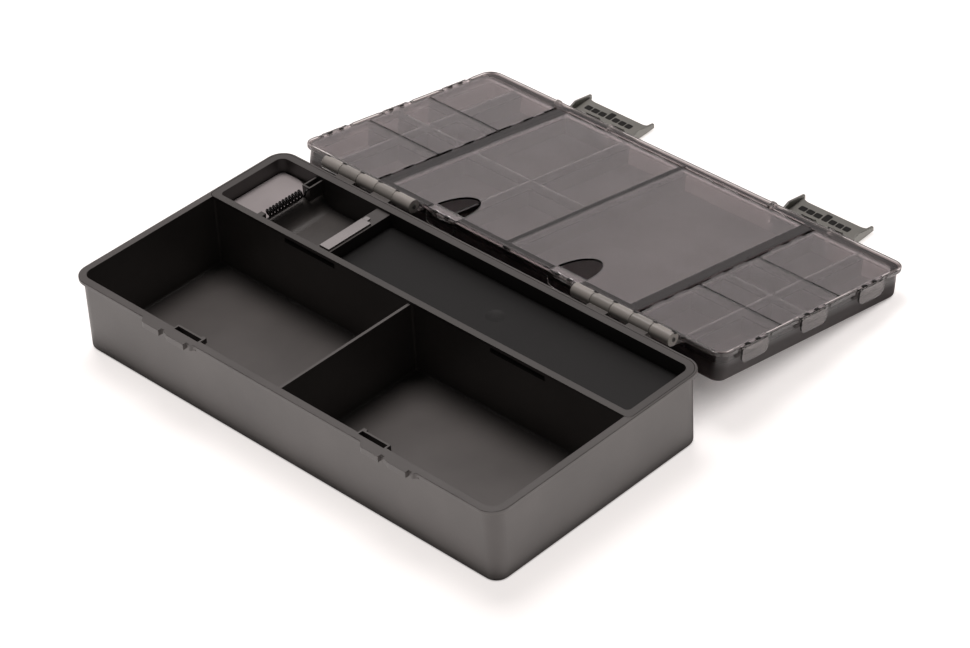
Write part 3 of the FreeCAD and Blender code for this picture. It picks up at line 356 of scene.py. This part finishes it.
# %% Coil
COIL_X, COIL_Z, COIL_START = -0.135, 0.0483, 0.037
COIL_RADIUS, COIL_PITCH, COIL_TURNS, COIL_BEND = 0.0023, 0.0027, 11, 0.0017
WIRE_RADIUS = 0.0007
WIRE_SIDES, POINTS_PER_TURN = 16, 40
BEND_POINTS, BEND_HANDLE = 13, 0.39


def sweep(name, points, radius, sides):
    """Round tube along a line of points, closed at both ends.

    With unit tangent t, side n = t x e made unit (e is the axis least along t, carried on from ring to
    ring by n <- n - (n.t) t) and b = t x n, ring i is p_i + radius (cos v n + sin v b).
    """
    tangents = np.gradient(points, axis=0)
    tangents /= np.linalg.norm(tangents, axis=1)[:, None]
    normal = np.cross(tangents[0], np.eye(3)[np.argmin(abs(tangents[0]))])
    normals = []
    for tangent in tangents:
        normal = normal - normal.dot(tangent) * tangent
        normal = normal / np.linalg.norm(normal)
        normals.append(normal)
    normals = np.array(normals)
    others = np.cross(tangents, normals)
    v = np.linspace(0, 2 * math.pi, sides, endpoint=False)
    rings = points[:, None] + radius * (np.cos(v)[None, :, None] * normals[:, None]
                                        + np.sin(v)[None, :, None] * others[:, None])
    count = len(points)
    i, j = np.meshgrid(np.arange(count - 1), np.arange(sides), indexing="ij")
    k = (j + 1) % sides
    quads = np.stack([i * sides + j, i * sides + k, (i + 1) * sides + k, (i + 1) * sides + j], -1)
    faces = quads.reshape(-1, 4).tolist()
    faces.append(list(range(sides))[::-1])
    faces.append(list(range((count - 1) * sides, count * sides)))
    mesh = bpy.data.meshes.new(name)
    mesh.from_pydata(rings.reshape(-1, 3), [], faces)
    mesh.polygons.foreach_set("use_smooth", [True] * (len(faces) - 2) + [False] * 2)
    piece = bpy.data.objects.new(name, mesh)
    bpy.context.scene.collection.objects.link(piece)
    return piece


def coil_line():
    """Centre line of the wire: straight end, quarter bend, helix, quarter bend and straight end.

    The helix is (R cos a, s + p a / 2 pi, R sin a). A bend from P, left along T, to Q, reached along U,
    is the cubic P (1-t)^3 + 3 (P + r T) t (1-t)^2 + 3 (Q - r U) t^2 (1-t) + Q t^3 with r = 0.39 |Q - P|.
    """
    angle = np.linspace(0, 2 * math.pi * COIL_TURNS, COIL_TURNS * POINTS_PER_TURN + 1)
    helix = np.stack([COIL_X + COIL_RADIUS * np.cos(angle),
                      COIL_START + COIL_PITCH * angle / (2 * math.pi),
                      COIL_Z + COIL_RADIUS * np.sin(angle)], -1)
    along = np.array([0, COIL_PITCH / (2 * math.pi), COIL_RADIUS])
    along /= np.linalg.norm(along)
    forward = np.array([0, 1.0, 0])
    tail = COIL_BEND + 2 * WIRE_RADIUS
    t = np.linspace(0, 1, BEND_POINTS)[:, None]

    def bend(start, start_way, end, end_way):
        """Cubic bend between two points with their directions."""
        reach = np.linalg.norm(end - start) * BEND_HANDLE
        a, b = start + start_way * reach, end - end_way * reach
        return start * (1 - t) ** 3 + 3 * a * t * (1 - t) ** 2 + 3 * b * t ** 2 * (1 - t) + end * t ** 3

    lead = helix[0] - forward * COIL_BEND - along * COIL_BEND
    front = np.array([lead[0], COIL_START - tail, lead[2]])
    last = helix[-1] + forward * COIL_BEND + along * COIL_BEND
    back = np.array([last[0], helix[-1][1] + tail, last[2]])
    return np.concatenate([[front], bend(lead, forward, helix[0], along), helix[1:-1],
                           bend(helix[-1], along, last, forward), [back]])


coil = sweep("coil_wound", coil_line(), WIRE_RADIUS, WIRE_SIDES)
coil.data.materials.append(coil_wire)
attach(coil, "tray")
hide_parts("line_coil")
print("coil faces", len(coil.data.polygons))

# %% [markdown]
# ## Painted shelf light and latch well shade
# The shelf at the tray's left end is pale, with a large round at its back right corner. Its pale is
# painted
# light: a thin pale sheet over the shelf stands for its bright lit top. The plates of the open latches
# show a row of dark wells, which save plastic behind a thick grip. Their dark is painted shade: each well
# is only a dark sheet set flush in the plate. Both are flat plates with round corners, so one function
# cuts them all.

# %% Painted shelf light and latch well shade
CORNER_POINTS = 12
SHELF_LIGHT_PLACE = ((-0.1678, -0.1372), (0.0294, 0.0805), (0.002, 0.002, 0.018, 0.003))
SHELF_LIGHT_HEIGHTS = (0.0420, 0.0428)
WELL_ENDS = ((-0.0218, -0.0166), (-0.0158, -0.0106), (-0.0098, -0.0046),
             (0.0022, 0.0070), (0.0078, 0.0126), (0.0134, 0.0182))
WELL_ROW, LONG_WELL, LONG_WELL_ROW = (0.2984, 0.3028), (-0.0034, 0.0012), (0.2984, 0.3056)
WELL_CORNER, LATCH_X = 0.0009, 0.091
LATCH_SLOPE, LATCH_LEVEL = 0.032, -0.006708
WELL_SHOWS, WELL_DEPTH = 0.00012, 0.0004


def cut_sheets(name, sheets, heights, slope=0.0):
    """Flat plates (x ends, y ends, four radii) that rise along y: z = height + slope y.

    Corner k has its arc r (cos a, sin a) about its centre, from a = (k + 2) pi/2 over a quarter turn.
    """
    turn = np.linspace(0, math.pi / 2, CORNER_POINTS)
    angles = turn[None, :] + (np.arange(4)[:, None] + 2) * math.pi / 2
    arcs = np.stack([np.cos(angles), np.sin(angles)], -1)
    points, faces, first = [], [], 0
    for x, y, radii in sheets:
        r = np.array(radii)[:, None]
        inward = np.array([(1, 1), (-1, 1), (-1, -1), (1, -1)])
        corners = np.array([(x[0], y[0]), (x[1], y[0]), (x[1], y[1]), (x[0], y[1])])
        ring = ((corners + inward * r)[:, None] + arcs * r[:, None]).reshape(-1, 2)
        for height in heights:
            points.append(np.column_stack([ring, height + slope * ring[:, 1]]))
        count = len(ring)
        i = np.arange(count) + first
        k = np.roll(i, -1)
        faces += np.stack([i, k, k + count, i + count], -1).tolist()
        faces += [i[::-1].tolist(), (i + count).tolist()]
        first += 2 * count
    mesh = bpy.data.meshes.new(name)
    mesh.from_pydata(np.concatenate(points), [], faces)
    piece = bpy.data.objects.new(name, mesh)
    bpy.context.scene.collection.objects.link(piece)
    return piece


# Painted light: a thin pale sheet over the shelf stands for its bright lit top.
shelf_light_sheet = cut_sheets("shelf_painted_light_sheet", [SHELF_LIGHT_PLACE], SHELF_LIGHT_HEIGHTS)
shelf_light_sheet.data.materials.append(foam)
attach(shelf_light_sheet, "tray")
well_places = [(ends, WELL_ROW) for ends in WELL_ENDS] + [(LONG_WELL, LONG_WELL_ROW)]
# Painted shade: dark sheets set flush in each latch plate stand for the shade in its wells.
for side, body in ((-1, "latch_left"), (1, "latch_right")):
    middle = side * LATCH_X
    sheets = [((middle + low, middle + high), row, (WELL_CORNER,) * 4)
              for (low, high), row in well_places]
    heights = (LATCH_LEVEL - WELL_DEPTH, LATCH_LEVEL + WELL_SHOWS)
    painted_well_shade = cut_sheets(body + "_wells", sheets, heights, LATCH_SLOPE)
    painted_well_shade.data.materials.append(well_shade)
    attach(painted_well_shade, body)
print("shelf_light_sheet", [round(c, 4) for c in shelf_light_sheet.dimensions], "painted_well_shade", 2 * len(well_places))

# %% [markdown]
# ## Painted shade in the holes at the hinges
# Each clip has a pair of holes across its film hinge, and the lid's hinge has a slot over each joint
# between knuckles, where the mould's pins stood. They are too deep for light to come back out, so their
# dark
# is painted shade: a thin dark sheet just below each mouth. A clip's film hinge runs along x on the lid's
# far side and along y at its ends, and the holes lie inward from the clip's outer edge.

# %% Painted shade of the holes
LID_SLOPE = -math.tan(LID_TILT)
KNUCKLE_PITCH, HINGE_GROUP_X, SLOT_JOINTS = 0.0154, 0.105, (-1.5, -0.5, 0.5, 1.5, 2.43)
SLOT_HALF, SLOT_ROW, SLOT_HEIGHTS, HOLE_CORNER = 0.0016, (0.0967, 0.0984), (0.0036, 0.00438), 0.0004
CLIP_HOLE_OFFSET, CLIP_HOLE_HALF, CLIP_HOLE_NEAR, CLIP_HOLE_FAR = 0.00475, 0.0016, 0.0016, 0.0034
CLIP_HOLE_HEIGHTS, END_CLIP_WITHIN = (-0.0016, -0.0009), 0.0154


def lid_level(heights):
    """Heights at y = 0 of planes parallel to the lid, each at its distance from the hinge's axis."""
    return [HINGE.z - LID_SLOPE * HINGE.y + height / math.cos(LID_TILT) for height in heights]


# Painted shade: a dark sheet over each joint of the hinge stands for the shade in its slot.
for side, word in ((-1, "left"), (1, "right")):
    middles = [side * (HINGE_GROUP_X + joint * KNUCKLE_PITCH) for joint in SLOT_JOINTS]
    sheets = [((x - SLOT_HALF, x + SLOT_HALF), SLOT_ROW, (HOLE_CORNER,) * 4) for x in middles]
    slot_shade_sheets = cut_sheets("hinge_slot_shade_" + word, sheets, lid_level(SLOT_HEIGHTS), LID_SLOPE)
    slot_shade_sheets.data.materials.append(well_shade)
    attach(slot_shade_sheets, "lid")
clips = [node for name, node in sorted(nodes.items()) if "_clip_" in name]
# Painted shade: two dark sheets by each clip stand for the shade in its holes.
for clip in clips:
    spots = np.array([clip.matrix_world @ vertex.co for vertex in clip.data.vertices])
    low, high = spots.min(0), spots.max(0)
    middle = (low + high) / 2
    run = int(abs(middle[0]) > LID_LENGTH / 2 - END_CLIP_WITHIN)
    outward = 1 if run and middle[0] > 0 else -1
    edge = (high if outward > 0 else low)[1 - run]
    sheets = []
    for offset in (-CLIP_HOLE_OFFSET, CLIP_HOLE_OFFSET):
        ends = {run: (middle[run] + offset - CLIP_HOLE_HALF, middle[run] + offset + CLIP_HOLE_HALF),
                1 - run: tuple(sorted((edge - outward * CLIP_HOLE_NEAR, edge - outward * CLIP_HOLE_FAR)))}
        sheets.append((ends[0], ends[1], (HOLE_CORNER,) * 4))
    heights = lid_level(CLIP_HOLE_HEIGHTS)
    holes = cut_sheets(clip.name.replace("clip", "holes"), sheets, heights, LID_SLOPE)
    holes.data.materials.append(well_shade)
    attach(holes, clip.name.replace("clip", "flap"))
print("slot_shade_sheets", 2 * len(SLOT_JOINTS), "clips with holes", len(clips))

# %% [markdown]
# ## Studio
# A plain white floor, a large soft lamp behind on the left and a smaller one above it, and a white
# surround for what the camera and the clear plastics see. The floor glows, but less where the object
# hides the sky from it, so a soft shade lies beside the lid and moves with it.

# %% Studio
FLOOR_HALF, FLOOR_GREY, WARM = 4.0, (0.8, 0.8, 0.8, 1), (1.0, 0.95, 0.93)
WHOLE_CENTRE, WHOLE_HALF, WHOLE_SOFT, BOUNCED_GLOW = (0.0, 0.090), (0.172, 0.178), 0.012, 1.0
SKY_SAMPLES, SKY_REACH, SKY_FULL, SHADE_LEAST, SEEN_GLOW = 16, 0.16, 0.5, 0.1, 0.8
SURROUND_LIT, SURROUND_SEEN = 0.03, 1.0
LAMP_AIM = (0, 0.08, 0)


def plate_shadow(tree, coords, centre, half, soft, power):
    """`power` well outside a rectangle on the floor, falling to 0 within `soft` metres of its edge.

    With d = (max(|x - cx| - hx, 0), max(|y - cy| - hy, 0)), it is the smooth step of |d| / soft.
    """
    shift = tree.nodes.new("ShaderNodeVectorMath")
    shift.operation = "SUBTRACT"
    shift.inputs[1].default_value = (*centre, 0)
    link(tree, coords, shift.inputs[0])
    size = tree.nodes.new("ShaderNodeVectorMath")
    size.operation = "ABSOLUTE"
    link(tree, shift.outputs[0], size.inputs[0])
    past = tree.nodes.new("ShaderNodeVectorMath")
    past.operation = "SUBTRACT"
    past.inputs[1].default_value = (*half, 0)
    link(tree, size.outputs[0], past.inputs[0])
    clip = tree.nodes.new("ShaderNodeVectorMath")
    clip.operation = "MAXIMUM"
    clip.inputs[1].default_value = (0, 0, 0)
    link(tree, past.outputs[0], clip.inputs[0])
    far = tree.nodes.new("ShaderNodeVectorMath")
    far.operation = "LENGTH"
    link(tree, clip.outputs[0], far.inputs[0])
    step = tree.nodes.new("ShaderNodeMapRange")
    step.interpolation_type = "SMOOTHSTEP"
    step.inputs["From Max"].default_value = soft
    step.inputs["To Max"].default_value = power
    link(tree, far.outputs["Value"], step.inputs["Value"])
    return step.outputs["Result"]


def floor_material():
    """White floor that glows by itself.

    What the camera and the clear plastics see goes from 0.1 of the glow to all of it as the share of open
    sky goes from 0 to 0.5. The glow that other rays meet stops at the object's edge, so that the walls
    aren't lit from right beside them.
    """
    material = bpy.data.materials.new("floor")
    material.use_nodes = True
    tree = material.node_tree
    tree.nodes.clear()
    out = tree.nodes.new("ShaderNodeOutputMaterial")
    coords = tree.nodes.new("ShaderNodeTexCoord").outputs["Object"]
    diffuse = tree.nodes.new("ShaderNodeBsdfDiffuse")
    diffuse.inputs["Color"].default_value = FLOOR_GREY
    path = tree.nodes.new("ShaderNodeLightPath")
    seen = tree.nodes.new("ShaderNodeEmission")
    bounced = tree.nodes.new("ShaderNodeEmission")
    for glow in (seen, bounced):
        glow.inputs["Color"].default_value = (*WARM, 1)
    clear_path = calc(tree, "MAXIMUM", path.outputs["Is Camera Ray"], path.outputs["Is Transmission Ray"])
    open_sky = tree.nodes.new("ShaderNodeAmbientOcclusion")
    open_sky.samples = SKY_SAMPLES
    open_sky.inputs["Distance"].default_value = SKY_REACH
    shade = tree.nodes.new("ShaderNodeMapRange")
    shade.interpolation_type = "SMOOTHSTEP"
    shade.inputs["From Max"].default_value = SKY_FULL
    shade.inputs["To Min"].default_value = SEEN_GLOW * SHADE_LEAST
    shade.inputs["To Max"].default_value = SEEN_GLOW
    link(tree, open_sky.outputs["AO"], shade.inputs["Value"])
    link(tree, shade.outputs["Result"], seen.inputs["Strength"])
    link(tree, plate_shadow(tree, coords, WHOLE_CENTRE, WHOLE_HALF, WHOLE_SOFT, BOUNCED_GLOW),
         bounced.inputs["Strength"])
    mix = tree.nodes.new("ShaderNodeMixShader")
    link(tree, clear_path, mix.inputs["Fac"])
    link(tree, bounced.outputs[0], mix.inputs[1])
    link(tree, seen.outputs[0], mix.inputs[2])
    add = tree.nodes.new("ShaderNodeAddShader")
    link(tree, diffuse.outputs[0], add.inputs[0])
    link(tree, mix.outputs[0], add.inputs[1])
    link(tree, add.outputs[0], out.inputs["Surface"])
    return material


floor_mesh = bpy.data.meshes.new("floor")
floor_mesh.from_pydata([(-FLOOR_HALF, -FLOOR_HALF, 0), (FLOOR_HALF, -FLOOR_HALF, 0),
                        (FLOOR_HALF, FLOOR_HALF, 0), (-FLOOR_HALF, FLOOR_HALF, 0)], [], [(0, 1, 2, 3)])
floor_mesh.materials.append(floor_material())
floor = bpy.data.objects.new("floor", floor_mesh)
bpy.context.scene.collection.objects.link(floor)


def area_lamp(name, place, size, power, colour):
    """Rectangular soft lamp, pointed from its place at the object."""
    data = bpy.data.lights.new(name, "AREA")
    data.shape = "RECTANGLE"
    data.size, data.size_y = size
    data.energy = power
    data.color = colour
    lamp = bpy.data.objects.new(name, data)
    bpy.context.scene.collection.objects.link(lamp)
    way = Vector(LAMP_AIM) - Vector(place)
    lamp.rotation_mode = "QUATERNION"
    lamp.rotation_quaternion = way.to_track_quat("-Z", "Y")
    lamp.location = place


area_lamp("back_softbox", (-1.11, 1.16, 1.56), (1.7, 2.9), 10.5, (1.0, 0.935, 0.93))
area_lamp("top_softbox", (-0.55, 0.45, 1.95), (0.9, 0.9), 18.0, WARM)

world = bpy.data.worlds.new("surround")
bpy.context.scene.world = world
world.use_nodes = True
tree = world.node_tree
background = tree.nodes["Background"]
background.inputs["Color"].default_value = (1, 1, 1, 1)
path = tree.nodes.new("ShaderNodeLightPath")
strength = tree.nodes.new("ShaderNodeMapRange")
strength.inputs["To Min"].default_value = SURROUND_LIT
strength.inputs["To Max"].default_value = SURROUND_SEEN
link(tree, calc(tree, "MAXIMUM", path.outputs["Is Camera Ray"], path.outputs["Is Transmission Ray"]),
     strength.inputs["Value"])
link(tree, strength.outputs["Result"], background.inputs["Strength"])

bpy.context.scene.view_settings.view_transform = "Standard"
